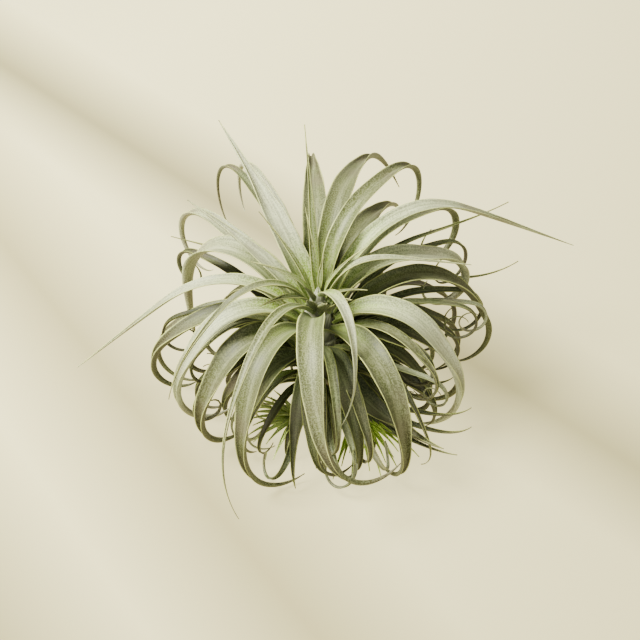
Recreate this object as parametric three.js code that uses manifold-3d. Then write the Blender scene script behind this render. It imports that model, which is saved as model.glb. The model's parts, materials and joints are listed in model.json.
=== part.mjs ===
// A rootless air plant: a short stem, curling channelled leaves and two small pups.
// Millimetres, +Z up, front towards -Y. The origin is the middle of the stem's flat base.
import * as THREE from "three";
import { mergeVertices } from "three/addons/utils/BufferGeometryUtils.js";
import Module from "manifold-3d";

const wasm = await Module();
wasm.setup();

// Driving dimensions.
const STEM_SIDES = 32;
const STEM_BASE_RADIUS = 9;
const STEM_WAIST = { radius: 14, height: 40 };
const STEM_HEIGHT = 100;
const SEAT_GAP = 0.35;
const EDGE_THICKNESS = 0.75;
const RIB_THICKNESS = 1.5;
const TIP_WIDTH = 1;
const LEAF_STEPS = 18;
const SEAT_STEPS = 6;

const radians = THREE.MathUtils.degToRad;

// Stem: a barrel that narrows to the crown where the youngest leaves part.
function stemRadius(height) {
  if (height < STEM_WAIST.height) {
    const rise = Math.max(height, 0) / STEM_WAIST.height;
    return STEM_BASE_RADIUS + (STEM_WAIST.radius - STEM_BASE_RADIUS) * Math.sin(rise * Math.PI / 2);
  }
  const fall = Math.min((height - STEM_WAIST.height) / (STEM_HEIGHT - STEM_WAIST.height), 1);
  return STEM_WAIST.radius * Math.cos(fall * Math.PI / 2) ** 0.7;
}

function stemGeometry() {
  const profile = [new THREE.Vector2(0, 0)];
  const rings = 12;
  for (let i = 0; i < rings; i += 1) {
    const height = STEM_HEIGHT * i / rings;
    profile.push(new THREE.Vector2(stemRadius(height), height));
  }
  profile.push(new THREE.Vector2(0, STEM_HEIGHT));
  const geometry = new THREE.LatheGeometry(profile, STEM_SIDES);
  geometry.rotateX(Math.PI / 2);
  return closed(geometry);
}

function closed(geometry) {
  geometry.deleteAttribute("normal");
  geometry.deleteAttribute("uv");
  const merged = mergeVertices(geometry, 1e-4);
  merged.computeVertexNormals();
  return merged;
}

// How far the leaf has turned over by a share of its length: a gentle droop, then the tip's curl.
function turned(leaf, share) {
  const body = Math.min(share / (1 - leaf.tail), 1);
  const end = Math.max(share - (1 - leaf.tail), 0) / leaf.tail;
  return leaf.droop * (1 - Math.cos(body * Math.PI)) / 2 + leaf.curl * end ** 1.5;
}

// Broad just above the base, then a taper to a thread: a low taper value narrows early.
function widthAt(leaf, share) {
  const swell = 0.42 + 0.58 * Math.sin(Math.min(share / 0.24, 1) * Math.PI / 2);
  const taper = 1 - share ** leaf.taper;
  return Math.max(leaf.width * swell * taper, TIP_WIDTH);
}

// Channelled at the base, open in the middle, and folded up deeply towards the tip.
function channelAt(share) {
  const open = 0.38;
  const base = 18 * Math.max(open - share, 0) / open;
  const fold = 36 * Math.sin(Math.min(Math.max(share - open, 0) / 0.42, 1) * Math.PI / 2) ** 2;
  return radians(22 + base + fold);
}

// The middle line of a leaf, with its across and upper directions at each step.
function leafPath(leaf, steps = LEAF_STEPS) {
  const azimuth = radians(leaf.azimuth);
  const out = new THREE.Vector3(Math.cos(azimuth), Math.sin(azimuth), 0);
  const up = new THREE.Vector3(0, 0, 1);
  const across = new THREE.Vector3().crossVectors(up, out);
  const along = out.clone().applyAxisAngle(across, -radians(leaf.rise));
  const place = out.clone().multiplyScalar(stemRadius(leaf.height)).addScaledVector(up, leaf.height);
  const stations = [];
  for (let i = 0; i <= steps; i += 1) {
    const share = i / steps;
    const upper = new THREE.Vector3().crossVectors(along, across);
    stations.push({ share, place: place.clone(), across: across.clone(), upper });
    const next = (i + 1) / steps;
    const bend = radians(turned(leaf, next) - turned(leaf, share));
    const roll = radians(leaf.twist) * (next ** 2 - share ** 2);
    along.applyAxisAngle(across, bend / 2);
    place.addScaledVector(along, leaf.length / steps);
    along.applyAxisAngle(across, bend / 2);
    across.applyAxisAngle(along, roll);
  }
  return stations;
}

// Six corners round a shallow channel: left, middle and right above, then the same below.
function section(leaf, station) {
  const half = widthAt(leaf, station.share) / 2;
  const slope = channelAt(station.share);
  const edge = EDGE_THICKNESS / Math.cos(slope) / 2;
  const rib = Math.max(RIB_THICKNESS * (1 - station.share), EDGE_THICKNESS / Math.cos(slope)) / 2;
  const reach = half * Math.cos(slope);
  const lift = half * Math.sin(slope);
  const corners = [[-reach, lift + edge], [0, rib], [reach, lift + edge],
    [reach, lift - edge], [0, -rib], [-reach, lift - edge]];
  return corners.map(([side, high]) => station.place.clone()
    .addScaledVector(station.across, side).addScaledVector(station.upper, high));
}

// Slides the whole leaf outwards until its base just clears the stem.
function seat(leaf, rows) {
  const azimuth = radians(leaf.azimuth);
  const out = new THREE.Vector3(Math.cos(azimuth), Math.sin(azimuth), 0);
  const clearance = () => Math.min(...rows.slice(0, SEAT_STEPS).flat()
    .map((corner) => Math.hypot(corner.x, corner.y) - stemRadius(corner.z)));
  const tries = 12;
  for (let i = 0; i < tries; i += 1) {
    const shift = SEAT_GAP - clearance();
    rows.flat().forEach((corner) => corner.addScaledVector(out, shift));
  }
}

function leafGeometry(leaf) {
  const rows = leafPath(leaf).map((station) => section(leaf, station));
  seat(leaf, rows);
  return strip(rows);
}

function strip(rows) {
  const positions = rows.flat().flatMap((corner) => [corner.x, corner.y, corner.z]);
  const index = [];
  const ring = 6;
  const steps = rows.length - 1;
  for (let i = 0; i < steps; i += 1) {
    for (let j = 0; j < ring; j += 1) {
      const a = i * ring + j;
      const b = i * ring + (j + 1) % ring;
      const c = a + ring;
      const d = b + ring;
      // The upper and lower faces are split along the same diagonal, so the blade keeps its thickness.
      if (j < 3) index.push(a, c, b, b, c, d);
      else index.push(a, d, b, a, c, d);
    }
  }
  const last = steps * ring;
  index.push(0, 1, 4, 0, 4, 5, 1, 3, 4, 1, 2, 3);
  index.push(last, last + 4, last + 1, last, last + 5, last + 4);
  index.push(last + 1, last + 4, last + 3, last + 1, last + 3, last + 2);
  const geometry = new THREE.BufferGeometry();
  geometry.setAttribute("position", new THREE.Float32BufferAttribute(positions, 3));
  geometry.setIndex(index);
  geometry.computeVertexNormals();
  return geometry;
}

function solid(geometry) {
  return new wasm.Manifold(new wasm.Mesh({
    numProp: 3,
    vertProperties: new Float32Array(geometry.attributes.position.array),
    triVerts: new Uint32Array(geometry.index.array),
  }));
}

// A pup: a bulb on a short runner from the stem, with a fan of narrow leaves, fused as one piece.
const PUP_LEAF_STEPS = 5;
const PUP_BULB_SIDES = 10;
const GOLDEN_ANGLE = 137.5;

function pupGeometry(pup) {
  const azimuth = radians(pup.azimuth);
  const out = new THREE.Vector3(Math.cos(azimuth), Math.sin(azimuth), 0);
  const middle = out.clone().multiplyScalar(pup.reach).setZ(pup.height);
  const bulb = new THREE.SphereGeometry(pup.bulb, PUP_BULB_SIDES, PUP_BULB_SIDES - 4);
  bulb.translate(middle.x, middle.y, middle.z);
  const start = stemRadius(pup.height + pup.runner) + SEAT_GAP;
  const runner = new THREE.CylinderGeometry(pup.runner, pup.runner, pup.reach - start, 8);
  runner.rotateZ(Math.PI / 2);
  runner.translate((pup.reach + start) / 2, 0, 0);
  runner.rotateZ(azimuth);
  runner.translate(0, 0, pup.height);
  let body = solid(closed(bulb)).add(solid(closed(runner)));
  for (let i = 0; i < pup.leaves; i += 1) {
    const share = i / (pup.leaves - 1);
    const leaf = {
      ...PLAIN,
      azimuth: pup.heading + pup.fan * (((i * GOLDEN_ANGLE) % 360) / 360 - 0.5),
      rise: pup.rise + (pup.steep - pup.rise) * share,
      length: pup.length * (1 - 0.35 * share),
      width: pup.width,
      droop: pup.droop * (1 - 0.5 * share),
      curl: pup.curl,
      height: pup.height,
    };
    const stations = leafPath(leaf, PUP_LEAF_STEPS);
    const shift = middle.clone().sub(stations[0].place);
    stations.forEach((station) => station.place.add(shift));
    body = body.add(solid(strip(stations.map((station) => section(leaf, station)))));
  }
  const joined = body.getMesh();
  const geometry = new THREE.BufferGeometry();
  geometry.setAttribute("position", new THREE.Float32BufferAttribute(joined.vertProperties, 3));
  geometry.setIndex(Array.from(joined.triVerts));
  return closed(geometry);
}

const PUP_LEFT = {
  azimuth: -118, heading: -150, reach: 28, height: 14, bulb: 4.5, runner: 2.2, leaves: 11, fan: 130,
  rise: 8, steep: 56, length: 36, width: 4.2, droop: 30, curl: 20,
};
const PUP_RIGHT = {
  azimuth: -42, heading: -62, reach: 34, height: 14, bulb: 4.5, runner: 2.2, leaves: 13, fan: 96,
  rise: 12, steep: 32, length: 50, width: 4, droop: 30, curl: 20,
};

const SILVER_GREEN = { color: 0xbec8b4, roughness: 0.8 };
const OLIVE = { color: 0x82825a, roughness: 0.8 };
const DRY_BROWN = { color: 0x7a5a34, roughness: 0.9 };
const PUP_GREEN = { color: 0x9aae3c, roughness: 0.7 };
const STEM_BROWN = { color: 0x5c5136, roughness: 0.9 };

function mesh(name, geometry, look) {
  const piece = new THREE.Mesh(geometry, new THREE.MeshStandardMaterial({ ...look, metalness: 0 }));
  piece.name = name;
  return piece;
}

// Angles in degrees: azimuth from +X, rise above level, droop and curl downwards along the leaf.
const PLAIN = { tail: 0.42, taper: 2.4, twist: 0 };
const CROWN = {
  crown_b: { azimuth: 70, height: 97, rise: 86, length: 22, width: 4, droop: 16, curl: 8 },
  crown_c: { azimuth: 146, height: 93, rise: 66, length: 60, width: 5, droop: 20, curl: 8, taper: 1.5 },
  crown_d: { azimuth: -120, height: 93, rise: 66, length: 22, width: 6, droop: 10, curl: 4 },
  crown_e: {
    azimuth: -28, height: 92, rise: 56, length: 34, width: 5, droop: 30,
    curl: 10, taper: 1.5,
  },
};
const RISING = {
  spear_left: {
    azimuth: 126, height: 85, rise: 54, length: 126, width: 22, droop: 20,
    curl: 2, taper: 1.5,
  },
  spear_side: {
    azimuth: 156, height: 82, rise: 50, length: 97, width: 17, droop: 18,
    curl: 4, taper: 1.4,
  },
  spear_mid: {
    azimuth: 98, height: 92, rise: 70, length: 102, width: 7, droop: 14,
    curl: 8, taper: 1.2,
  },
  arch_back_a: {
    azimuth: 76, height: 79, rise: 72, length: 195, width: 18, droop: 88,
    curl: 70, twist: -35,
  },
  arch_back_b: {
    azimuth: 55, height: 88, rise: 80, length: 190, width: 14, droop: 84,
    curl: 190, tail: 0.5,
  },
  back_mid: { azimuth: 92, height: 70, rise: 66, length: 175, width: 19, droop: 72, curl: 50 },
  back_left: {
    azimuth: 113, height: 63, rise: 62, length: 178, width: 14, droop: 54,
    curl: 150, tail: 0.45,
  },
  back_right: { azimuth: 66, height: 60, rise: 66, length: 155, width: 21, droop: 80, curl: 45 },
};
const RIGHT = {
  whip_right: {
    azimuth: 29, height: 83, rise: 67, length: 232, width: 17, droop: 101,
    curl: 0, taper: 1.3,
  },
  hook_right: {
    azimuth: 42, height: 74, rise: 62, length: 200, width: 14, droop: 75,
    curl: 330, tail: 0.5,
  },
  slim_right: {
    azimuth: 5, height: 92, rise: 70, length: 102, width: 8, droop: 80,
    curl: 0, taper: 1.4,
  },
  arm_right_a: {
    azimuth: 19, height: 79, rise: 61, length: 158, width: 20, droop: 80,
    curl: 290, tail: 0.5,
  },
  arm_right_b: {
    azimuth: 13, height: 61, rise: 60, length: 180, width: 19, droop: 124,
    curl: 150, tail: 0.3,
  },
  arm_right_c: {
    azimuth: -15, height: 75, rise: 40, length: 160, width: 23, droop: 96,
    curl: 120, tail: 0.5,
  },
  arm_right_d: {
    azimuth: -4, height: 54, rise: 40, length: 134, width: 19, droop: 86,
    curl: 190, tail: 0.46,
  },
  ring_right: {
    azimuth: -25, height: 62, rise: 42, length: 104, width: 11, droop: 50,
    curl: 240, tail: 0.55,
  },
  far_right: { azimuth: 22, height: 48, rise: 40, length: 135, width: 13, droop: 80, curl: 140 },
  low_right: {
    azimuth: -12, height: 38, rise: 4, length: 75, width: 15, droop: 16,
    curl: -70, taper: 1.3,
  },
  mauve_curl: {
    azimuth: 30, height: 58, rise: 46, length: 170, width: 10, droop: 90,
    curl: 220, tail: 0.48,
  },
};
const FRONT = {
  front_right: {
    azimuth: -56, height: 73, rise: 31, length: 158, width: 21, droop: 108,
    curl: 130, tail: 0.32,
  },
  front_slim: {
    azimuth: -45, height: 60, rise: 27, length: 122, width: 9, droop: 84, curl: 90,
    tail: 0.25, taper: 1.5,
  },
  front_white: {
    azimuth: -64, height: 96, rise: 43, length: 110, width: 11, droop: 100, curl: 40,
    tail: 0.4, taper: 1.1, twist: -80,
  },
  front_main: {
    azimuth: -95, height: 80, rise: 50, length: 182, width: 19, droop: 100, curl: 150,
    twist: 110, tail: 0.45,
  },
  front_low_a: {
    azimuth: -95, height: 57, rise: 20, length: 112, width: 14, droop: 80,
    curl: 140, twist: 80,
  },
  front_low_b: {
    azimuth: -103, height: 52, rise: 12, length: 90, width: 13, droop: 60,
    curl: 40, twist: 20,
  },
  front_left: {
    azimuth: -123, height: 72, rise: 42, length: 172, width: 19, droop: 110, curl: 130,
    twist: 50, tail: 0.45,
  },
  whip_front: {
    azimuth: -119, height: 86, rise: 46, length: 180, width: 10, droop: 78, curl: 60,
    twist: 60, taper: 1.2,
  },
  front_broad: {
    azimuth: -49, height: 53, rise: -40, length: 104, width: 20, droop: -46,
    curl: -20, taper: 2,
  },
  front_curl: { azimuth: -90, height: 44, rise: 10, length: 92, width: 10, droop: 60, curl: 260 },
};
const FILL = {
  front_mid: { azimuth: -71, height: 60, rise: 28, length: 108, width: 18, droop: 84, curl: 90 },
  front_side: { azimuth: -133, height: 54, rise: 26, length: 100, width: 18, droop: 88, curl: 90 },
  right_fill: { azimuth: -18, height: 41, rise: 22, length: 88, width: 18, droop: 56, curl: 100 },
  left_second: { azimuth: -164, height: 43, rise: 20, length: 80, width: 18, droop: 76, curl: 100 },
};
const LEFT = {
  left_low_a: {
    azimuth: -146, height: 63, rise: 46, length: 148, width: 22, droop: 108,
    curl: 150, tail: 0.45,
  },
  left_low_b: {
    azimuth: -160, height: 74, rise: 45, length: 164, width: 20, droop: 106,
    curl: 160, tail: 0.45,
  },
  slim_left: {
    azimuth: -156, height: 90, rise: 56, length: 138, width: 8, droop: 104,
    curl: 30, taper: 1.4,
  },
  left_mid: {
    azimuth: 169, height: 49, rise: 54, length: 166, width: 13, droop: 98,
    curl: 190, tail: 0.45,
  },
  whip_left: {
    azimuth: 177, height: 79, rise: 43, length: 178, width: 15, droop: 86,
    curl: 0, taper: 1.2,
  },
  left_arm: {
    azimuth: 184, height: 56, rise: 55, length: 154, width: 19, droop: 96,
    curl: 190, tail: 0.42,
  },
  left_broad: {
    azimuth: 148, height: 68, rise: 58, length: 174, width: 24, droop: 148,
    curl: 10, tail: 0.2,
  },
  left_hook: {
    azimuth: 133, height: 54, rise: 54, length: 188, width: 15, droop: 52,
    curl: 225, tail: 0.5,
  },
  left_loop: {
    azimuth: 139, height: 42, rise: 44, length: 168, width: 10, droop: 50,
    curl: 380, tail: 0.42,
  },
  left_hang: { azimuth: 164, height: 44, rise: 30, length: 68, width: 14, droop: 100, curl: 40 },
  left_bottom: { azimuth: -143, height: 48, rise: 16, length: 80, width: 13, droop: 70, curl: 90 },
};
const HIDDEN = {
  rear_a: { azimuth: 68, height: 54, rise: 34, length: 108, width: 18, droop: 90, curl: 90 },
  rear_b: { azimuth: 97, height: 56, rise: 34, length: 108, width: 18, droop: 90, curl: 90 },
  rear_c: { azimuth: 114, height: 42, rise: 32, length: 84, width: 18, droop: 90, curl: 90 },
  rear_d: { azimuth: 49, height: 50, rise: 32, length: 100, width: 17, droop: 90, curl: 90 },
  under_a: { azimuth: 86, height: 34, rise: 6, length: 60, width: 15, droop: 50, curl: 60 },
  under_b: { azimuth: 176, height: 36, rise: 6, length: 60, width: 15, droop: 50, curl: 60 },
  under_c: { azimuth: 30, height: 32, rise: 6, length: 55, width: 15, droop: 50, curl: 60 },
};
const DRY = {
  brown: { azimuth: -16, height: 24, rise: 4, length: 50, width: 9, droop: 30, curl: 90 },
};

const plant = new THREE.Group();
plant.add(mesh("stem", stemGeometry(), STEM_BROWN));
[[CROWN, SILVER_GREEN], [RISING, SILVER_GREEN], [RIGHT, SILVER_GREEN], [FRONT, SILVER_GREEN],
  [FILL, OLIVE], [LEFT, SILVER_GREEN], [HIDDEN, OLIVE], [DRY, DRY_BROWN]]
  .forEach(([group, look]) => Object.entries(group).forEach(([name, values]) => {
    plant.add(mesh(`leaf_${name}`, leafGeometry({ ...PLAIN, ...values }), look));
  }));
plant.add(mesh("pup_left", pupGeometry(PUP_LEFT), PUP_GREEN));
plant.add(mesh("pup_right", pupGeometry(PUP_RIGHT), PUP_GREEN));

export default plant;
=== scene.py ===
"""The looks of a rootless air plant: curling leaves, two pups and a stem under old sheaths.

Blender works in metres. Leaf sizes are written in millimetres and degrees, and MM turns them into
metres.
"""
import json
import math
import random
import bpy
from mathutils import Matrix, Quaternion, Vector


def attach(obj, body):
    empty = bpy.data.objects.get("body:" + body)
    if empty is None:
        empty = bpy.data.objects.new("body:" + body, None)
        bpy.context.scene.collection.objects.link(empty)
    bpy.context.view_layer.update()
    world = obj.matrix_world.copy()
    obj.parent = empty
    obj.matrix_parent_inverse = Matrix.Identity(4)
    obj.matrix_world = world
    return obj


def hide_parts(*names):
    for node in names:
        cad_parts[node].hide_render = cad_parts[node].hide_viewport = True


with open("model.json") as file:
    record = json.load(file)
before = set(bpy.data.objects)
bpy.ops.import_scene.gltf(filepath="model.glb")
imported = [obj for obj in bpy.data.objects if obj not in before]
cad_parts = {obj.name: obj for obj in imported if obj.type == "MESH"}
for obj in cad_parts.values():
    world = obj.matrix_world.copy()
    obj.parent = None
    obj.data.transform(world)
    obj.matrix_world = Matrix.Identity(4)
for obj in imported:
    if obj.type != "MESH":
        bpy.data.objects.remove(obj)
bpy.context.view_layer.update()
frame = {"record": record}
slots = {part["node"]: part["material_slot"] for part in frame["record"]["subparts"]}

MM = 0.001
UP = Vector((0, 0, 1))

# Driving dimensions, in millimetres.
STEM_BASE_RADIUS = 9
STEM_WAIST_RADIUS = 14
STEM_WAIST_HEIGHT = 40
STEM_HEIGHT = 100
SEAT_GAP = 0.35
EDGE_THICKNESS = 0.4
RIB_THICKNESS = 1.5
TIP_WIDTH = 0.5
LOWEST = 0.4

# How finely the leaves are built.
LEAF_STEPS = 84
LEAF_DIVISIONS = 10
PUP_LEAF_STEPS = 22
SEAT_STEPS = 12

# The form of the stem's top and of every leaf: exponents, shares and angles in degrees.
STEM_ROUNDNESS = 0.7
SEAT_SHARE = 5 / 18
ROOT_WIDTH = 0.42
SWELL_SHARE = 0.24
OPEN_SHARE = 0.38
FOLD_SHARE = 0.42
CHANNEL_ANGLE = 22
ROOT_FOLD = 18
TIP_FOLD = 36
CURL_GROWTH = 1.5
WAVE_RATES = (2.0, 3.5)
QUICK_RATE = 3.1
SLOW_WAVE = 0.035
QUICK_WAVE = 0.015
SHORTENING = 0.93
GOLDEN_ANGLE = 137.5

# What the materials read: a value that paints a leaf paler when low and darker when high, partly
# painted light and partly random tone, and shifts that give each leaf and face its own pattern.
LIT_LEAF_TONES = (0, 0.2)
SHADED_LEAF_TONES = (0.5, 1)
UNDER_SHIFT = 7
TINT_SHIFT = 31

# The camera stands where the photograph was taken from.
CAMERA_ELEVATION = 40
CAMERA_DISTANCE = 0.93
CAMERA_AIM = Vector((0.0012, 0, 0.074))
CAMERA_LENS = 85
CAMERA_SENSOR = 36

# Leaves: azimuth from +X and root height on the stem, rise above level, droop and the tip's curl
# downwards, tail as the share that curls, taper as an exponent, and twist over the whole length.
PLAIN = dict(tail=0.42, taper=2.4, twist=0)
LEAVES = {
    "crown_b": dict(azimuth=70, height=97, rise=86, length=22, width=4, droop=16, curl=8),
    "crown_c": dict(azimuth=146, height=93, rise=66, length=60, width=5, droop=20, curl=8, taper=1.5),
    "crown_d": dict(azimuth=-120, height=93, rise=66, length=22, width=6, droop=10, curl=4),
    "crown_e": dict(azimuth=-28, height=92, rise=56, length=34, width=5, droop=30, curl=10, taper=1.5),
    "spear_left": dict(
        azimuth=126, height=85, rise=54, length=126, width=22, droop=20,
        curl=2, taper=1.5,
    ),
    "spear_side": dict(
        azimuth=156, height=82, rise=50, length=97, width=17, droop=18,
        curl=4, taper=1.4,
    ),
    "spear_mid": dict(azimuth=98, height=92, rise=70, length=102, width=7, droop=14, curl=8, taper=1.2),
    "arch_back_a": dict(
        azimuth=76, height=79, rise=72, length=195, width=18, droop=88,
        curl=70, twist=-35,
    ),
    "arch_back_b": dict(
        azimuth=55, height=88, rise=80, length=190, width=14, droop=84,
        curl=190, tail=0.5,
    ),
    "back_mid": dict(azimuth=92, height=70, rise=66, length=175, width=19, droop=72, curl=50),
    "back_left": dict(
        azimuth=113, height=63, rise=62, length=178, width=14, droop=54,
        curl=150, tail=0.45,
    ),
    "back_right": dict(azimuth=66, height=60, rise=66, length=155, width=21, droop=80, curl=45),
    "whip_right": dict(
        azimuth=29, height=83, rise=67, length=232, width=17, droop=101,
        curl=0, taper=1.3,
    ),
    "hook_right": dict(
        azimuth=42, height=74, rise=62, length=200, width=14, droop=75,
        curl=330, tail=0.5,
    ),
    "slim_right": dict(azimuth=5, height=92, rise=70, length=102, width=8, droop=80, curl=0, taper=1.4),
    "arm_right_a": dict(
        azimuth=19, height=79, rise=61, length=158, width=20, droop=80,
        curl=290, tail=0.5,
    ),
    "arm_right_b": dict(
        azimuth=13, height=61, rise=60, length=180, width=19, droop=124,
        curl=150, tail=0.3,
    ),
    "arm_right_c": dict(
        azimuth=-15, height=75, rise=40, length=160, width=23, droop=96,
        curl=120, tail=0.5,
    ),
    "arm_right_d": dict(
        azimuth=-4, height=54, rise=40, length=134, width=19, droop=86,
        curl=190, tail=0.46,
    ),
    "ring_right": dict(
        azimuth=-25, height=62, rise=42, length=104, width=11, droop=50,
        curl=240, tail=0.55,
    ),
    "far_right": dict(azimuth=22, height=48, rise=40, length=135, width=13, droop=80, curl=140),
    "low_right": dict(
        azimuth=-12, height=38, rise=4, length=75, width=15, droop=16,
        curl=-70, taper=1.3,
    ),
    "mauve_curl": dict(
        azimuth=30, height=58, rise=46, length=170, width=10, droop=90,
        curl=220, tail=0.48,
    ),
    "front_right": dict(
        azimuth=-56, height=73, rise=31, length=158, width=21, droop=108,
        curl=130, tail=0.32,
    ),
    "front_slim": dict(
        azimuth=-45, height=60, rise=27, length=122, width=9, droop=84, curl=90,
        tail=0.25, taper=1.5,
    ),
    "front_white": dict(
        azimuth=-64, height=96, rise=43, length=110, width=11, droop=100, curl=40,
        tail=0.4, taper=1.1, twist=-80,
    ),
    "front_main": dict(
        azimuth=-95, height=80, rise=50, length=182, width=19, droop=100, curl=150,
        twist=110, tail=0.45,
    ),
    "front_low_a": dict(
        azimuth=-95, height=57, rise=20, length=112, width=14, droop=80,
        curl=140, twist=80,
    ),
    "front_low_b": dict(
        azimuth=-103, height=52, rise=12, length=90, width=13, droop=60,
        curl=40, twist=20,
    ),
    "front_left": dict(
        azimuth=-123, height=72, rise=42, length=172, width=19, droop=110, curl=130,
        twist=50, tail=0.45,
    ),
    "whip_front": dict(
        azimuth=-119, height=86, rise=46, length=180, width=10, droop=78, curl=60,
        twist=60, taper=1.2,
    ),
    "front_broad": dict(
        azimuth=-49, height=53, rise=-40, length=104, width=20, droop=-46,
        curl=-20, taper=2,
    ),
    "front_curl": dict(azimuth=-90, height=44, rise=10, length=92, width=10, droop=60, curl=260),
    "front_mid": dict(azimuth=-71, height=60, rise=28, length=108, width=18, droop=84, curl=90),
    "front_side": dict(azimuth=-133, height=54, rise=26, length=100, width=18, droop=88, curl=90),
    "right_fill": dict(azimuth=-18, height=41, rise=22, length=88, width=18, droop=56, curl=100),
    "left_second": dict(azimuth=-164, height=43, rise=20, length=80, width=18, droop=76, curl=100),
    "left_low_a": dict(
        azimuth=-146, height=63, rise=46, length=148, width=22, droop=108,
        curl=150, tail=0.45,
    ),
    "left_low_b": dict(
        azimuth=-160, height=74, rise=45, length=164, width=20, droop=106,
        curl=160, tail=0.45,
    ),
    "slim_left": dict(
        azimuth=-156, height=90, rise=56, length=138, width=8, droop=104,
        curl=30, taper=1.4,
    ),
    "left_mid": dict(
        azimuth=169, height=49, rise=54, length=166, width=13, droop=98,
        curl=190, tail=0.45,
    ),
    "whip_left": dict(
        azimuth=177, height=79, rise=43, length=178, width=15, droop=86,
        curl=0, taper=1.2,
    ),
    "left_arm": dict(
        azimuth=184, height=56, rise=55, length=154, width=19, droop=96,
        curl=190, tail=0.42,
    ),
    "left_broad": dict(
        azimuth=148, height=68, rise=58, length=174, width=24, droop=148,
        curl=10, tail=0.2,
    ),
    "left_hook": dict(
        azimuth=133, height=54, rise=54, length=188, width=15, droop=52,
        curl=225, tail=0.5,
    ),
    "left_loop": dict(
        azimuth=139, height=42, rise=44, length=168, width=10, droop=50,
        curl=380, tail=0.42,
    ),
    "left_hang": dict(azimuth=164, height=44, rise=30, length=68, width=14, droop=100, curl=40),
    "left_bottom": dict(azimuth=-143, height=48, rise=16, length=80, width=13, droop=70, curl=90),
    "rear_a": dict(azimuth=68, height=54, rise=34, length=108, width=18, droop=90, curl=90),
    "rear_b": dict(azimuth=97, height=56, rise=34, length=108, width=18, droop=90, curl=90),
    "rear_c": dict(azimuth=114, height=42, rise=32, length=84, width=18, droop=90, curl=90),
    "rear_d": dict(azimuth=49, height=50, rise=32, length=100, width=17, droop=90, curl=90),
    "under_a": dict(azimuth=86, height=34, rise=6, length=60, width=15, droop=50, curl=60),
    "under_b": dict(azimuth=176, height=36, rise=6, length=60, width=15, droop=50, curl=60),
    "under_c": dict(azimuth=30, height=32, rise=6, length=55, width=15, droop=50, curl=60),
    "brown": dict(azimuth=-16, height=24, rise=4, length=50, width=9, droop=30, curl=90),
}

# Pups: a ball on a runner, both coloured like the base of a leaf, and a fan towards the heading.
LEAF_BASE_SHARE = 0.1
PUP_BALL_ANGLES = range(4, 180, 12)
PUP_BALL_SIDES = 24
PUP_RUNNER_SIDES = 16
PUP_SHORTER = 0.35
PUP_STIFFER = 0.5
PUPS = {
    "pup_left": dict(
        azimuth=-118, heading=-150, reach=28, height=14, bulb=4.5, runner=2.2, leaves=11,
        fan=130, rise=8, steep=56, length=36, width=4.2, droop=30, curl=20,
    ),
    "pup_right": dict(
        azimuth=-42, heading=-62, reach=34, height=14, bulb=4.5, runner=2.2, leaves=13,
        fan=96, rise=12, steep=32, length=50, width=4, droop=30, curl=20,
    ),
}

# More narrow leaves than the CAD model has nodes for: curled tips that the photograph shows.
CURLS = {
    "upper_ring": dict(
        azimuth=34, height=60, rise=56, length=186, width=7, droop=66,
        curl=390, tail=0.5,
    ),
    "right_curl_a": dict(
        azimuth=3, height=62, rise=46, length=152, width=6, droop=58,
        curl=420, tail=0.5,
    ),
    "right_curl_b": dict(
        azimuth=17, height=54, rise=48, length=166, width=8, droop=62,
        curl=340, tail=0.5,
    ),
    "right_ring": dict(
        azimuth=-27, height=50, rise=14, length=118, width=6, droop=16,
        curl=430, tail=0.5,
    ),
    "upper_tip": dict(
        azimuth=35, height=74, rise=48, length=150, width=7, droop=54,
        curl=-10, taper=1.3,
    ),
    "middle_tip": dict(
        azimuth=23, height=70, rise=40, length=136, width=8, droop=62,
        curl=-45, taper=1.4,
    ),
    "inner_ring": dict(azimuth=8, height=52, rise=48, length=150, width=7, droop=60, curl=400),
    "low_tip_a": dict(azimuth=-38, height=42, rise=-38, length=112, width=8, droop=-50, curl=-45),
    "low_tip_b": dict(azimuth=-44, height=36, rise=-36, length=106, width=7, droop=-46, curl=-20),
    "low_tip_c": dict(azimuth=-33, height=40, rise=-30, length=104, width=7, droop=-46, curl=-40),
    "front_ring_a": dict(
        azimuth=-84, height=36, rise=8, length=116, width=6, droop=24,
        curl=400, tail=0.55, twist=110,
    ),
    "front_ring_b": dict(
        azimuth=-72, height=32, rise=6, length=120, width=6, droop=22,
        curl=400, tail=0.55, twist=-110,
    ),
    "front_ring_c": dict(
        azimuth=-66, height=38, rise=8, length=122, width=6, droop=26,
        curl=420, tail=0.55, twist=100,
    ),
    "front_ring_d": dict(
        azimuth=-104, height=30, rise=6, length=112, width=6, droop=24,
        curl=380, tail=0.55, twist=-120,
    ),
    "low_curl_a": dict(azimuth=-112, height=30, rise=6, length=96, width=7, droop=50, curl=160),
    "low_curl_b": dict(azimuth=-127, height=34, rise=8, length=100, width=7, droop=50, curl=190),
    "low_curl_c": dict(azimuth=-52, height=30, rise=4, length=92, width=8, droop=40, curl=150),
    "back_hook": dict(
        azimuth=119, height=70, rise=62, length=196, width=9, droop=58,
        curl=170, tail=0.5,
    ),
    "left_ring": dict(
        azimuth=174, height=58, rise=44, length=152, width=7, droop=66,
        curl=380, tail=0.5,
    ),
    "left_tip": dict(azimuth=140, height=76, rise=38, length=122, width=6, droop=52, curl=0, taper=1.3),
    "left_curl_a": dict(
        azimuth=-142, height=40, rise=14, length=128, width=7, droop=74,
        curl=150, twist=50,
    ),
    "left_curl_b": dict(
        azimuth=-152, height=36, rise=18, length=122, width=6, droop=70,
        curl=190, twist=40,
    ),
    "left_curl_c": dict(azimuth=-172, height=40, rise=26, length=126, width=7, droop=80, curl=260),
}
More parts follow.
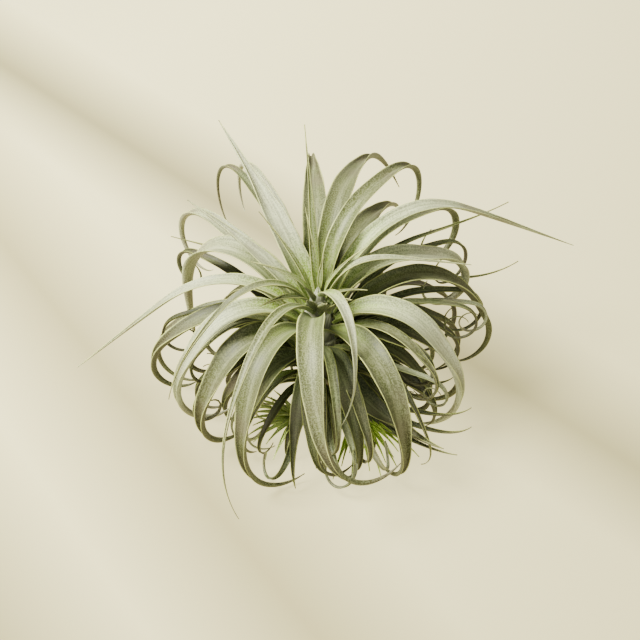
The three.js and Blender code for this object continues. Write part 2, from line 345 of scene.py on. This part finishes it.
# Short young leaves round the tip of the stem.
TUFT = {
    "tuft_a": dict(azimuth=-150, height=90, rise=56, length=38, width=7, droop=50, curl=10),
    "tuft_b": dict(azimuth=-112, height=86, rise=74, length=20, width=9, droop=20, curl=10),
    "tuft_c": dict(azimuth=-74, height=85, rise=74, length=19, width=9, droop=20, curl=10),
    "tuft_d": dict(azimuth=-34, height=84, rise=70, length=24, width=9, droop=30, curl=10),
    "tuft_e": dict(azimuth=12, height=95, rise=74, length=40, width=5, droop=30, curl=10, taper=1.4),
    "tuft_f": dict(azimuth=108, height=95, rise=80, length=52, width=6, droop=16, curl=10, taper=1.4),
    "tuft_g": dict(azimuth=172, height=94, rise=60, length=44, width=6, droop=40, curl=10, taper=1.4),
}
# The pups stand free here: no hidden leaf fills these azimuths.
PUP_WINDOWS = ((-135, -98), (-66, -36))
# Leaves painted paler, as if they take the light; the others are painted a shade darker.
LIT_LEAVES = {
    "spear_left", "spear_side", "left_broad", "left_hook", "back_left", "arm_right_a", "arm_right_c",
    "whip_right", "left_low_b", "whip_left", "slim_right", "front_white",
}
# Seeded leaves between the large ones. Rise, length and droop give the lowest leaf's value, the
# highest leaf's and a spread. Widths, curls and twists are plain ranges.
INNER_LEAVES = 44
INNER_SEED = 7
INNER_HEIGHTS = (24, 66)
INNER_RISE = (4, 44, 6)
INNER_LENGTH = (84, 128, 10)
INNER_DROOP = (70, 94, 10)
INNER_WIDTHS = (7, 13)
INNER_CURLS = (120, 380)
INNER_TWISTS = (-25, 25)
INNER_SLOTS = ["olive_leaf", "olive_leaf", "silver_leaf"]


# Meshes -----------------------------------------------------------------------------------------

class Skin:
    """Collects the points and faces of one piece, with what its material reads at each point."""

    def __init__(self, light_and_tone):
        self.light_and_tone = light_and_tone
        self.points = []
        self.faces = []
        self.values = {"share": [], "side": [], "under": [], "light_and_tone": []}
        self.places = []

    def ring(self, points, share, sides, unders, places):
        """Adds one closed ring of points and gives the number of its first point."""
        first = len(self.points)
        self.points += points
        self.values["share"] += [share] * len(points)
        self.values["side"] += sides
        self.values["under"] += unders
        self.values["light_and_tone"] += [self.light_and_tone] * len(points)
        self.places += places
        return first

    def join(self, first, second, count):
        """Adds the faces between two rings of the same count."""
        for i in range(count):
            following = (i + 1) % count
            self.faces.append((first + i, first + following, second + following, second + i))

    def cap(self, first, count, flip):
        """Closes one end with a single face."""
        ring = list(range(first, first + count))
        self.faces.append(tuple(ring if flip else reversed(ring)))


def build(name, skin, slot, node=None):
    """A smooth mesh piece in metres, which stands for a CAD node where it names one."""
    mesh = bpy.data.meshes.new(name)
    mesh.from_pydata([point * MM for point in skin.points], [], skin.faces)
    for key, values in skin.values.items():
        mesh.attributes.new(key, "FLOAT", "POINT").data.foreach_set("value", values)
    flat = [number * MM for place in skin.places for number in place]
    mesh.attributes.new("place", "FLOAT_VECTOR", "POINT").data.foreach_set("vector", flat)
    mesh.polygons.foreach_set("use_smooth", [True] * len(mesh.polygons))
    mesh.materials.append(materials[slot])
    mesh.update()
    piece = bpy.data.objects.new(name + "_look", mesh)
    bpy.context.scene.collection.objects.link(piece)
    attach(piece, "root")
    if node:
        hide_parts(node)


# Leaves -----------------------------------------------------------------------------------------

def stem_radius(height):
    """The stem swells from its flat base to a waist, and rounds off at the top."""
    if height < STEM_WAIST_HEIGHT:
        rise = max(height, 0) / STEM_WAIST_HEIGHT
        return STEM_BASE_RADIUS + (STEM_WAIST_RADIUS - STEM_BASE_RADIUS) * math.sin(rise * math.pi / 2)
    fall = min((height - STEM_WAIST_HEIGHT) / (STEM_HEIGHT - STEM_WAIST_HEIGHT), 1)
    return STEM_WAIST_RADIUS * max(math.cos(fall * math.pi / 2), 0) ** STEM_ROUNDNESS


def turned(leaf, share):
    """How far the leaf has turned over: a gentle droop, then the tip's curl."""
    body = min(share / (1 - leaf["tail"]), 1)
    end = max(share - (1 - leaf["tail"]), 0) / leaf["tail"]
    return leaf["droop"] * (1 - math.cos(body * math.pi)) / 2 + leaf["curl"] * end ** CURL_GROWTH


def width_at(leaf, share):
    swell = ROOT_WIDTH + (1 - ROOT_WIDTH) * math.sin(min(share / SWELL_SHARE, 1) * math.pi / 2)
    return max(leaf["width"] * swell * (1 - share ** leaf["taper"]), TIP_WIDTH)


def channel_at(share):
    """Channelled at the base, open in the middle, and folded up deeply towards the tip."""
    base = ROOT_FOLD * max(OPEN_SHARE - share, 0) / OPEN_SHARE
    folded = min(max(share - OPEN_SHARE, 0) / FOLD_SHARE, 1)
    fold = TIP_FOLD * math.sin(folded * math.pi / 2) ** 2
    return math.radians(CHANNEL_ANGLE + base + fold)


def outward(azimuth):
    """The level direction away from the stem."""
    return Vector((math.cos(math.radians(azimuth)), math.sin(math.radians(azimuth)), 0))


def leaf_path(leaf, steps):
    """Gives (share, place, across, upper) at each step along the middle line."""
    out = outward(leaf["azimuth"])
    across = UP.cross(out)
    along = Quaternion(across, -math.radians(leaf["rise"])) @ out
    place = out * stem_radius(leaf["height"]) + UP * leaf["height"]
    stations = []
    for i in range(steps + 1):
        share = i / steps
        stations.append((share, place.copy(), across.copy(), along.cross(across)))
        following = (i + 1) / steps
        bend = math.radians(turned(leaf, following) - turned(leaf, share))
        roll = math.radians(leaf["twist"]) * (following ** 2 - share ** 2)
        along.rotate(Quaternion(across, bend / 2))
        place += along * (leaf["length"] / steps)
        along.rotate(Quaternion(across, bend / 2))
        across.rotate(Quaternion(along, roll))
    return stations


def section(leaf, station, wave):
    """Round the blade's arc: the upper face from left to right, then the under face back."""
    share, place, across, upper = station
    half = width_at(leaf, share) / 2
    wrap = 2 * channel_at(share)
    rib = max(RIB_THICKNESS * (1 - share), EDGE_THICKNESS)
    points = []
    sides = []
    for face in (1, -1):
        for j in range(LEAF_DIVISIONS + 1):
            side = face * (2 * j / LEAF_DIVISIONS - 1)
            turn = wrap * side
            spread = half * (1 + wave(share, side)) / wrap
            thick = face * (EDGE_THICKNESS + (rib - EDGE_THICKNESS) * (1 - side ** 2)) / 2
            lateral = spread * math.sin(turn) - thick * math.sin(turn)
            lift = spread * (1 - math.cos(turn)) + thick * math.cos(turn)
            points.append(place + across * lateral + upper * lift)
            sides.append(side)
    return points, sides


def margin_wave(rng):
    """A slight seeded waver of the two margins, none along the middle line."""
    phases = [rng.uniform(0, 2 * math.pi) for _ in range(4)]
    rate = rng.uniform(*WAVE_RATES)

    def wave(share, side):
        pick = 0 if side < 0 else 2
        slow = math.sin(2 * math.pi * rate * share + phases[pick])
        quick = math.sin(2 * math.pi * QUICK_RATE * rate * share + phases[pick + 1])
        return side ** 2 * (SLOW_WAVE * slow + QUICK_WAVE * quick)
    return wave


def add_leaf(skin, leaf, stations, wave, seated):
    """Adds one closed blade. A seated leaf slides outwards until its base clears the stem."""
    rows = [section(leaf, station, wave) for station in stations]
    shift = Vector((0, 0, 0))
    if seated:
        near = [row[0] for row, station in zip(rows, stations) if station[0] <= SEAT_SHARE]
        out = outward(leaf["azimuth"])
        for _ in range(SEAT_STEPS):
            moved = (point + shift for points in near for point in points)
            clear = min(math.hypot(point.x, point.y) - stem_radius(point.z) for point in moved)
            shift += out * (SEAT_GAP - clear)
    count = 2 * (LEAF_DIVISIONS + 1)
    unders = [0.0] * (LEAF_DIVISIONS + 1) + [1.0] * (LEAF_DIVISIONS + 1)
    previous = None
    for (points, sides), station in zip(rows, stations):
        share = station[0]
        half = width_at(leaf, share) / 2
        places = [
            (side * half, share * leaf["length"], UNDER_SHIFT * under + TINT_SHIFT * skin.light_and_tone)
            for side, under in zip(sides, unders)
        ]
        first = skin.ring([point + shift for point in points], share, sides, unders, places)
        if previous is None:
            skin.cap(first, count, True)
        else:
            skin.join(previous, first, count)
        previous = first
    skin.cap(previous, count, False)


def make_leaf(key, leaf):
    """The look of one leaf of the CAD model."""
    name = "leaf_" + key
    rng = random.Random(name)
    skin = Skin(rng.uniform(*(LIT_LEAF_TONES if key in LIT_LEAVES else SHADED_LEAF_TONES)))
    whole = {**PLAIN, **leaf}
    add_leaf(skin, whole, leaf_path(whole, LEAF_STEPS), margin_wave(rng), True)
    build(name, skin, slots[name], name)


def make_curl(name, leaf, slot):
    """A leaf that only the scene has. It is shortened until it clears the surface below."""
    rng = random.Random(name)
    whole = {**PLAIN, **leaf}
    skin = None
    while skin is None or min(point.z for point in skin.points) < LOWEST:
        skin = Skin(rng.random())
        add_leaf(skin, whole, leaf_path(whole, LEAF_STEPS), margin_wave(rng), True)
        whole["length"] *= SHORTENING
    build(name, skin, slot)


def between(rng, share, low, high, spread):
    """A value that grows from the lowest leaf to the highest, give or take a seeded spread."""
    return low + (high - low) * share + rng.uniform(-spread, spread)


def make_inner_leaves():
    """Narrow leaves that fill the shade between the large ones, the lowest ones shortest."""
    rng = random.Random(INNER_SEED)
    lowest, highest = INNER_HEIGHTS
    for i in range(INNER_LEAVES):
        share = i / (INNER_LEAVES - 1)
        azimuth = (i * GOLDEN_ANGLE) % 360 - 180
        leaf = dict(
            azimuth=azimuth,
            height=lowest + (highest - lowest) * share,
            rise=between(rng, share, *INNER_RISE),
            length=between(rng, share, *INNER_LENGTH),
            width=rng.uniform(*INNER_WIDTHS),
            droop=between(rng, share, *INNER_DROOP),
            curl=rng.uniform(*INNER_CURLS),
            twist=rng.uniform(*INNER_TWISTS),
        )
        slot = rng.choice(INNER_SLOTS)
        if not any(low < azimuth < high for low, high in PUP_WINDOWS):
            make_curl(f"inner_{i + 1}", leaf, slot)


# Pups and stem ----------------------------------------------------------------------------------

def add_turned(skin, profile, middle, axis, sides):
    """Adds a closed form turned about an axis: profile is a list of (distance along, radius)."""
    start = axis.orthogonal().normalized()
    other = axis.cross(start)
    previous = None
    for distance, radius in profile:
        share = (distance - profile[0][0]) / (profile[-1][0] - profile[0][0])
        points = []
        places = []
        for j in range(sides):
            angle = 2 * math.pi * j / sides
            round_it = start * math.cos(angle) + other * math.sin(angle)
            points.append(middle + axis * distance + round_it * radius)
            places.append((radius * angle, distance, 0))
        first = skin.ring(points, share * LEAF_BASE_SHARE, [0.0] * sides, [0.0] * sides, places)
        if previous is None:
            skin.cap(first, sides, True)
        else:
            skin.join(previous, first, sides)
        previous = first
    skin.cap(previous, sides, False)


def make_pup(name, pup):
    """A small rosette on a runner, with twice the leaves of the CAD form."""
    rng = random.Random(name)
    skin = Skin(rng.random())
    out = outward(pup["azimuth"])
    middle = out * pup["reach"] + UP * pup["height"]
    turns = [math.radians(angle) for angle in PUP_BALL_ANGLES]
    ball = [(-pup["bulb"] * math.cos(turn), pup["bulb"] * math.sin(turn)) for turn in turns]
    add_turned(skin, ball, middle, out, PUP_BALL_SIDES)
    start = stem_radius(pup["height"] + pup["runner"]) + SEAT_GAP
    runner = [(start - pup["reach"], pup["runner"]), (0, pup["runner"])]
    add_turned(skin, runner, middle, out, PUP_RUNNER_SIDES)
    count = 2 * pup["leaves"]
    for i in range(count):
        share = i / (count - 1)
        leaf = {
            **PLAIN,
            "azimuth": pup["heading"] + pup["fan"] * (((i * GOLDEN_ANGLE) % 360) / 360 - 0.5),
            "rise": pup["rise"] + (pup["steep"] - pup["rise"]) * share,
            "length": pup["length"] * (1 - PUP_SHORTER * share),
            "width": pup["width"],
            "droop": pup["droop"] * (1 - PUP_STIFFER * share),
            "curl": pup["curl"],
            "height": pup["height"],
        }
        stations = leaf_path(leaf, PUP_LEAF_STEPS)
        shift = middle - stations[0][1]
        moved = [(part, place + shift, across, upper) for part, place, across, upper in stations]
        add_leaf(skin, leaf, moved, margin_wave(rng), False)
    build(name, skin, slots[name], name)


def make_stem():
    """The stem under the overlapping sheaths of old leaves. The relief only cuts into the CAD form."""
    skin = Skin(0.5)
    rings = 220
    sides = 120
    rows_of_sheaths = 11
    sheaths_round = 5
    relief = 1.6
    rim_height = 6
    least_radius = 0.2
    previous = None
    for i in range(rings):
        height = STEM_HEIGHT * i / rings
        row = height / STEM_HEIGHT * rows_of_sheaths
        rim = min(height / rim_height, 1)
        points = []
        places = []
        depths = []
        for j in range(sides):
            angle = 2 * math.pi * j / sides
            turn = angle / (2 * math.pi) * sheaths_round + 0.5 * (math.floor(row) % 2)
            arch = abs(2 * (turn % 1) - 1)
            depth = (1 - (row % 1) * (1 - arch ** 2)) * rim
            radius = max(stem_radius(height) - relief * depth, least_radius)
            points.append(Vector((radius * math.cos(angle), radius * math.sin(angle), height)))
            places.append((radius * angle, height, 0))
            depths.append(depth)
        first = skin.ring(points, height / STEM_HEIGHT, [0.0] * sides, depths, places)
        if previous is None:
            skin.cap(first, sides, True)
        else:
            skin.join(previous, first, sides)
        previous = first
    skin.cap(previous, sides, False)
    build("stem", skin, slots["stem"], "stem")


# Materials --------------------------------------------------------------------------------------

def colour(red, green, blue):
    """A colour from its usual 0 to 255 values to Blender's linear ones."""
    def linear(value):
        part = value / 255
        return part / 12.92 if part <= 0.04045 else ((part + 0.055) / 1.055) ** 2.4
    return (linear(red), linear(green), linear(blue), 1)


class Shader:
    """Adds nodes to one material. A value given for an input is a number, a colour or a socket."""

    # The numbers of the mix node's colour sockets.
    MIX_FACTOR, MIX_A, MIX_B, MIX_RESULT = 0, 6, 7, 2
    NOISE_ROUGHNESS = 0.55

    def __init__(self, name):
        self.material = bpy.data.materials.new(name)
        self.material.use_nodes = True
        self.tree = self.material.node_tree
        self.shader = self.tree.nodes["Principled BSDF"]

    def node(self, kind, inputs, **settings):
        made = self.tree.nodes.new(kind)
        for key, value in settings.items():
            setattr(made, key, value)
        for key, value in inputs.items():
            self.set(made.inputs[key], value)
        return made

    def set(self, socket, value):
        if isinstance(value, bpy.types.NodeSocket):
            self.tree.links.new(value, socket)
        else:
            socket.default_value = value

    def read(self, name, output="Fac"):
        return self.node("ShaderNodeAttribute", {}, attribute_name=name).outputs[output]

    def math(self, operation, first, second=0.0):
        made = self.node("ShaderNodeMath", {0: first, 1: second}, operation=operation)
        return made.outputs[0]

    def stretch(self, vector, scale):
        made = self.node("ShaderNodeVectorMath", {0: vector, 1: scale}, operation="MULTIPLY")
        return made.outputs[0]

    def noise(self, vector, scale, detail=3.0):
        inputs = {"Vector": vector, "Scale": scale, "Detail": detail, "Roughness": self.NOISE_ROUGHNESS}
        return self.node("ShaderNodeTexNoise", inputs).outputs[0]

    def ramp(self, value, *stops):
        """A ramp through (place, grey or colour) stops."""
        made = self.node("ShaderNodeValToRGB", {0: value})
        elements = made.color_ramp.elements
        while len(elements) < len(stops):
            elements.new(0.5)
        for element, (place, shade) in zip(elements, stops):
            element.position = place
            element.color = shade if isinstance(shade, tuple) else (shade, shade, shade, 1)
        return made.outputs[0]

    def mix(self, factor, first, second):
        inputs = {self.MIX_FACTOR: factor, self.MIX_A: first, self.MIX_B: second}
        made = self.node("ShaderNodeMix", inputs, data_type="RGBA")
        return made.outputs[self.MIX_RESULT]

    def bump(self, height, strength, distance):
        inputs = {"Height": height, "Strength": strength, "Distance": distance}
        self.set(self.shader.inputs["Normal"], self.node("ShaderNodeBump", inputs).outputs[0])


SPECKLE_SCALE = 1150
STREAK_SCALE = 760
STREAK_STRETCH = (1, 0.045, 1)
PATCH_SCALE = 38
FINE_DETAIL = 2.0
WANDER = 0.22
FLANK_WAVER = 0.7
LINE_STRENGTH = 0.46
FACE_STEP = 0.2
FACE_END = 0.5
TIP_START = 0.8
UNDER_START = 0.16
UNDER_END = 0.7
UNDER_TIP = 0.98
ROUGHER = 0.22
SPECULAR = 0.35
SHEEN_ROUGHNESS = 0.5
LEAF_BUMP = 0.35
LEAF_BUMP_DEPTH = 0.0005

# Ramps across and along a leaf, as (place, strength) stops.
# Painted highlight along the middle of a leaf's upper face, and painted shade on its flanks towards the
# margins.
MIDDLE_HIGHLIGHT = ((0.0, 0.55), (0.35, 0.0))
FLANK_SHADE = ((0.45, 0.0), (0.85, 0.55))
SCALE_STOPS = ((0.43, 0.0), (0.57, 1.0))
LINE_STOPS = ((0.4, 0.0), (0.64, 1.0))
BLUSH_PATCHES = ((0.42, 0.0), (0.62, 1.0))
BLUSH_ALONG = ((0.3, 0.0), (0.55, 1.0), (0.85, 0.7))
# Whole leaves painted paler in the light and darker out of it, by a value that is partly painted light
# and partly random tone.
PALER_BY_LIGHT_AND_TONE = ((0.0, 0.8), (0.3, 0.0))
PALER_ALONG = ((0.12, 0.0), (0.4, 1.0))
DARKER_BY_LIGHT_AND_TONE = ((0.2, 0.0), (0.5, 0.34), (1.0, 0.66))
MARGIN_ACROSS = ((0.92, 0.0), (0.98, 1.0))
MARGIN_PATCHES = ((0.35, 0.15), (0.6, 0.6))


def leaf_material(name, look):
    """A leaf: green at its base, scaly and pale along it, darker under, paler at its margins. Light is
    painted on it too: a highlight along the middle, shade on the flanks, and whole leaves paler in the
    light and a shade darker out of it.
    """
    s = Shader(name)
    share = s.read("share")
    side = s.math("ABSOLUTE", s.read("side"))
    under = s.read("under")
    light_and_tone = s.read("light_and_tone")
    place = s.read("place", "Vector")
    speckle = s.noise(place, SPECKLE_SCALE, FINE_DETAIL)
    streak = s.noise(s.stretch(place, STREAK_STRETCH), STREAK_SCALE)
    patch = s.noise(place, PATCH_SCALE, FINE_DETAIL)

    wander = s.math("MULTIPLY", s.math("SUBTRACT", patch, 0.5), WANDER)
    along = s.math("ADD", share, wander)
    green_until = look["green_until"]
    upper = s.ramp(
        along,
        (0.0, look["base"]),
        (green_until, look["base"]),
        (green_until + FACE_STEP, look["face"]),
        (FACE_END, look["face"]),
        (TIP_START, look["tip"]),
    )
    lower = s.ramp(
        along,
        (0.0, look["base"]),
        (UNDER_START, look["under"]),
        (UNDER_END, look["under"]),
        (UNDER_TIP, look["tip"]),
    )
    waver = s.math("MULTIPLY", s.math("SUBTRACT", streak, 0.5), FLANK_WAVER)
    flank = s.math("ADD", side, waver)
    # Painted highlight along the middle of the upper face and painted shade on its flanks, both
    # wavering with the streaks.
    upper = s.mix(s.ramp(flank, *MIDDLE_HIGHLIGHT), upper, look["light"])
    upper = s.mix(s.ramp(flank, *FLANK_SHADE), upper, look["dark"])
    skin = s.mix(under, upper, lower)

    # Painted light: leaves in the light turn paler beyond their green base.
    paler = s.math("MULTIPLY", s.ramp(light_and_tone, *PALER_BY_LIGHT_AND_TONE), s.ramp(along, *PALER_ALONG))
    skin = s.mix(paler, skin, look["pale"])
    scales = s.ramp(speckle, *SCALE_STOPS)
    skin = s.mix(s.math("MULTIPLY", scales, look["scales"]), skin, look["light"])
    grain = s.math("ADD", streak, s.math("SUBTRACT", 0.5, speckle))
    lines = s.ramp(grain, *LINE_STOPS)
    skin = s.mix(s.math("MULTIPLY", lines, LINE_STRENGTH), skin, look["dark"])
    blush = s.math("MULTIPLY", s.ramp(patch, *BLUSH_PATCHES), s.ramp(share, *BLUSH_ALONG))
    skin = s.mix(s.math("MULTIPLY", blush, look["blush"]), skin, MAUVE)
    # Painted shade: leaves out of the light turn a shade darker; the seeded leaves and pups vary at
    # random.
    skin = s.mix(s.ramp(light_and_tone, *DARKER_BY_LIGHT_AND_TONE), skin, look["dark"])
    margin = s.math("MULTIPLY", s.ramp(side, *MARGIN_ACROSS), s.ramp(patch, *MARGIN_PATCHES))
    skin = s.mix(margin, skin, look["margin"])
    s.set(s.shader.inputs["Base Color"], skin)

    rough = s.ramp(scales, (0.0, look["gloss"]), (1.0, look["gloss"] + ROUGHER))
    s.set(s.shader.inputs["Roughness"], rough)
    s.set(s.shader.inputs["Specular IOR Level"], SPECULAR)
    s.set(s.shader.inputs["Sheen Weight"], look["sheen"])
    s.set(s.shader.inputs["Sheen Roughness"], SHEEN_ROUGHNESS)
    s.set(s.shader.inputs["Sheen Tint"], SHEEN)
    s.bump(s.math("ADD", s.math("MULTIPLY", speckle, 0.5), streak), LEAF_BUMP, LEAF_BUMP_DEPTH)
    return s.material


FIBRE_SCALE = 700
FIBRE_STRETCH = (1, 0.12, 1)
FIBRE_DETAIL = 4.0
BARK_PATCH_SCALE = 120
BARK_WANDER = 0.3
BARK_SHADE = 0.7
BARK_ROUGHNESS = 0.85
BARK_BUMP = 0.5
BARK_BUMP_DEPTH = 0.0006
OLD_BARK = ((0.3, colour(72, 50, 30)), (0.5, colour(112, 84, 54)), (0.7, colour(156, 132, 96)))
YOUNG_BARK = (
    (0.3, colour(96, 100, 74)), (0.5, colour(138, 142, 112)), (0.7, colour(182, 184, 158)),
)
# Painted shade in the hollows under the sheath rims.
BARK_HOLLOW_SHADE = colour(52, 50, 30)
BARK_TOP = colour(190, 192, 160)
YOUNG_FROM = ((0.22, 0.0), (0.42, 1.0))
HOLLOW_SHADE_STOPS = ((0.3, 0.0), (0.95, 1.0))
TOP_STOPS = ((0.9, 0.0), (0.97, 0.6))


def bark_material(name):
    """Dry brown sheaths low down, silvery ones higher up, with painted shade where one overlaps the
    next.

    The stem keeps the depth of its relief where a leaf keeps which face is the under one.
    """
    s = Shader(name)
    place = s.read("place", "Vector")
    share = s.read("share")
    depth = s.read("under")
    fibre = s.noise(s.stretch(place, FIBRE_STRETCH), FIBRE_SCALE, FIBRE_DETAIL)
    patch = s.noise(place, BARK_PATCH_SCALE)
    wander = s.math("MULTIPLY", s.math("SUBTRACT", patch, 0.5), BARK_WANDER)
    young = s.ramp(s.math("ADD", share, wander), *YOUNG_FROM)
    skin = s.mix(young, s.ramp(fibre, *OLD_BARK), s.ramp(fibre, *YOUNG_BARK))
    # Painted shade in the hollow under each sheath's rim.
    hollow_shade = s.math("MULTIPLY", s.ramp(depth, *HOLLOW_SHADE_STOPS), BARK_SHADE)
    skin = s.mix(hollow_shade, skin, BARK_HOLLOW_SHADE)
    skin = s.mix(s.ramp(share, *TOP_STOPS), skin, BARK_TOP)
    s.set(s.shader.inputs["Base Color"], skin)
    s.set(s.shader.inputs["Roughness"], BARK_ROUGHNESS)
    s.bump(s.math("ADD", fibre, patch), BARK_BUMP, BARK_BUMP_DEPTH)
    return s.material


MAUVE = colour(112, 94, 84)
SHEEN = colour(240, 240, 218)
# In each look, light is the scales' colour and the painted highlight's, dark is the grain lines' colour
# and the painted shade's, and pale is painted light on leaves in the light.
SILVER = dict(
    base=colour(118, 148, 0), green_until=0.13, face=colour(86, 94, 38), tip=colour(84, 80, 30),
    under=colour(76, 82, 28), light=colour(168, 172, 128), dark=colour(42, 46, 16),
    margin=colour(200, 206, 120), pale=colour(190, 196, 158), scales=0.48, blush=0.4,
    gloss=0.48, sheen=0.06,
)
YOUNG = {
    **SILVER, "base": colour(130, 164, 0), "green_until": 0.22, "face": colour(108, 130, 34),
    "blush": 0.0,
}
OLIVE = {
    **SILVER, "base": colour(60, 74, 14), "face": colour(70, 78, 32), "tip": colour(80, 76, 28),
    "under": colour(50, 54, 16), "light": colour(136, 144, 98), "dark": colour(34, 40, 10),
    "margin": colour(136, 144, 64), "scales": 0.45, "blush": 0.5,
}
MAUVE_LEAF = {**OLIVE, "face": colour(112, 98, 82), "light": colour(170, 158, 142), "blush": 0.7}
DRY = {
    **OLIVE, "base": colour(112, 72, 40), "face": colour(140, 96, 58), "tip": colour(104, 66, 38),
    "under": colour(110, 74, 44), "light": colour(178, 146, 106), "dark": colour(78, 48, 28),
    "margin": colour(166, 128, 84), "blush": 0.0, "gloss": 0.6, "sheen": 0.1,
}
PUP = {
    **YOUNG, "base": colour(120, 146, 30), "face": colour(156, 192, 24), "tip": colour(128, 142, 40),
    "under": colour(132, 164, 20), "light": colour(206, 226, 96), "dark": colour(90, 118, 16),
    "margin": colour(190, 210, 80), "scales": 0.25, "green_until": 0.05,
}
materials = {
    "silver_leaf": leaf_material("silver leaf", SILVER),
    "young_leaf": leaf_material("young leaf", YOUNG),
    "olive_leaf": leaf_material("olive leaf", OLIVE),
    "mauve_leaf": leaf_material("mauve leaf", MAUVE_LEAF),
    "dry_leaf": leaf_material("dry leaf", DRY),
    "pup_leaf": leaf_material("pup leaf", PUP),
    "stem_bark": bark_material("stem bark"),
}

for key, values in LEAVES.items():
    make_leaf(key, values)
for key, values in CURLS.items():
    make_curl("curl_" + key, values, "olive_leaf")
for key, values in TUFT.items():
    make_curl("leaf_" + key, values, "young_leaf")
make_inner_leaves()
for key, values in PUPS.items():
    make_pup(key, values)
make_stem()


# Floor, lights and camera -----------------------------------------------------------------------

# Colours of the painted sunlight and shade on the floor.
SUNLIT = colour(255, 244, 180)
DIM = colour(188, 177, 122)
SHADED = colour(150, 141, 94)
BLACK = colour(0, 0, 0)
FLOOR_REACH = 4
FLOOR_PAINTED_GLOW = 2.15
FLOOR_MATT = 0.25
FLOOR_ROUGHNESS = 0.95
STRIPE_SLANT = 1.56
STRIPE_START = 0.6
# Painted slanting stripes of sunlight and shade, a painted shade band, and painted shade that deepens
# towards the front right.
STRIPES = ((0.1, SHADED), (0.27, SUNLIT), (0.415, DIM), (0.55, SUNLIT))
BAND_SLANT = 1.03
SHADE_BAND = ((0.065, 0.0), (0.15, 0.9), (0.19, 0.55), (0.25, 0.0))
FADE_SLANT = 1.5
FADE_SCALE = 0.8
FADE_START = 0.54
SHADE_FADE = ((0.0, 0.0), (0.93, 0.54))
ROOM_COLOUR = colour(252, 252, 238)
ROOM_STRENGTH = 0.54
KEY_LIGHT = dict(place=(-0.85, -0.1, 1.3), size=0.6, power=122, tone=(1, 0.98, 0.9))
FILL_LIGHT = dict(place=(0.4, -1.3, 0.9), size=1.2, power=16, tone=(1, 0.99, 0.95))


def make_floor():
    """A warm pale surface with painted slanting stripes of sunlight and shade, a painted shade band and
    painted shade deepening towards the front right. It glows with painted light, which keeps it bright
    and softens the plant's shadow on it.
    """
    mesh = bpy.data.meshes.new("floor")
    sides = ((-1, -1), (1, -1), (1, 1), (-1, 1))
    corners = [(FLOOR_REACH * x, FLOOR_REACH * y, 0) for x, y in sides]
    mesh.from_pydata(corners, [], [(0, 1, 2, 3)])
    flat = [number for corner in corners for number in corner]
    mesh.attributes.new("place", "FLOAT_VECTOR", "POINT").data.foreach_set("vector", flat)
    s = Shader("floor")
    parts = s.node("ShaderNodeSeparateXYZ", {0: s.read("place", "Vector")}).outputs
    x, y = parts[0], parts[1]
    stripe = s.math("ADD", s.math("ADD", y, s.math("MULTIPLY", x, STRIPE_SLANT)), STRIPE_START)
    tone = s.ramp(stripe, *STRIPES)
    shade_band = s.math("ADD", y, s.math("MULTIPLY", x, BAND_SLANT))
    tone = s.mix(s.ramp(shade_band, *SHADE_BAND), tone, SHADED)
    away = s.math("SUBTRACT", s.math("MULTIPLY", x, FADE_SLANT), y)
    shade_fade = s.math("ADD", s.math("MULTIPLY", away, FADE_SCALE), FADE_START)
    tone = s.mix(s.ramp(shade_fade, *SHADE_FADE), tone, SHADED)
    # The floor glows: painted light that keeps it bright and softens the plant's shadow on it, its own
    # colour kept dark.
    s.set(s.shader.inputs["Base Color"], s.mix(FLOOR_MATT, BLACK, tone))
    s.set(s.shader.inputs["Roughness"], FLOOR_ROUGHNESS)
    s.set(s.shader.inputs["Emission Color"], tone)
    s.set(s.shader.inputs["Emission Strength"], FLOOR_PAINTED_GLOW)
    mesh.materials.append(s.material)
    floor = bpy.data.objects.new("floor", mesh)
    bpy.context.scene.collection.objects.link(floor)


def make_light(name, place, size, power, tone):
    data = bpy.data.lights.new(name, "AREA")
    data.size = size
    data.energy = power
    data.color = tone
    lamp = bpy.data.objects.new(name, data)
    lamp.location = place
    lamp.rotation_euler = (CAMERA_AIM - Vector(place)).to_track_quat("-Z", "Y").to_euler()
    bpy.context.scene.collection.objects.link(lamp)


def make_world():
    world = bpy.data.worlds.new("soft room")
    world.use_nodes = True
    sky = world.node_tree.nodes["Background"]
    sky.inputs["Color"].default_value = ROOM_COLOUR
    sky.inputs["Strength"].default_value = ROOM_STRENGTH
    bpy.context.scene.world = world


def make_camera():
    data = bpy.data.cameras.new("camera")
    data.lens = CAMERA_LENS
    data.sensor_width = CAMERA_SENSOR
    camera = bpy.data.objects.new("camera", data)
    tilt = math.radians(CAMERA_ELEVATION)
    camera.location = CAMERA_AIM + CAMERA_DISTANCE * Vector((0, -math.cos(tilt), math.sin(tilt)))
    camera.rotation_euler = (math.pi / 2 - tilt, 0, 0)
    bpy.context.scene.collection.objects.link(camera)
    bpy.context.scene.camera = camera


make_floor()
make_world()
make_light("key", **KEY_LIGHT)
make_light("fill", **FILL_LIGHT)
make_camera()
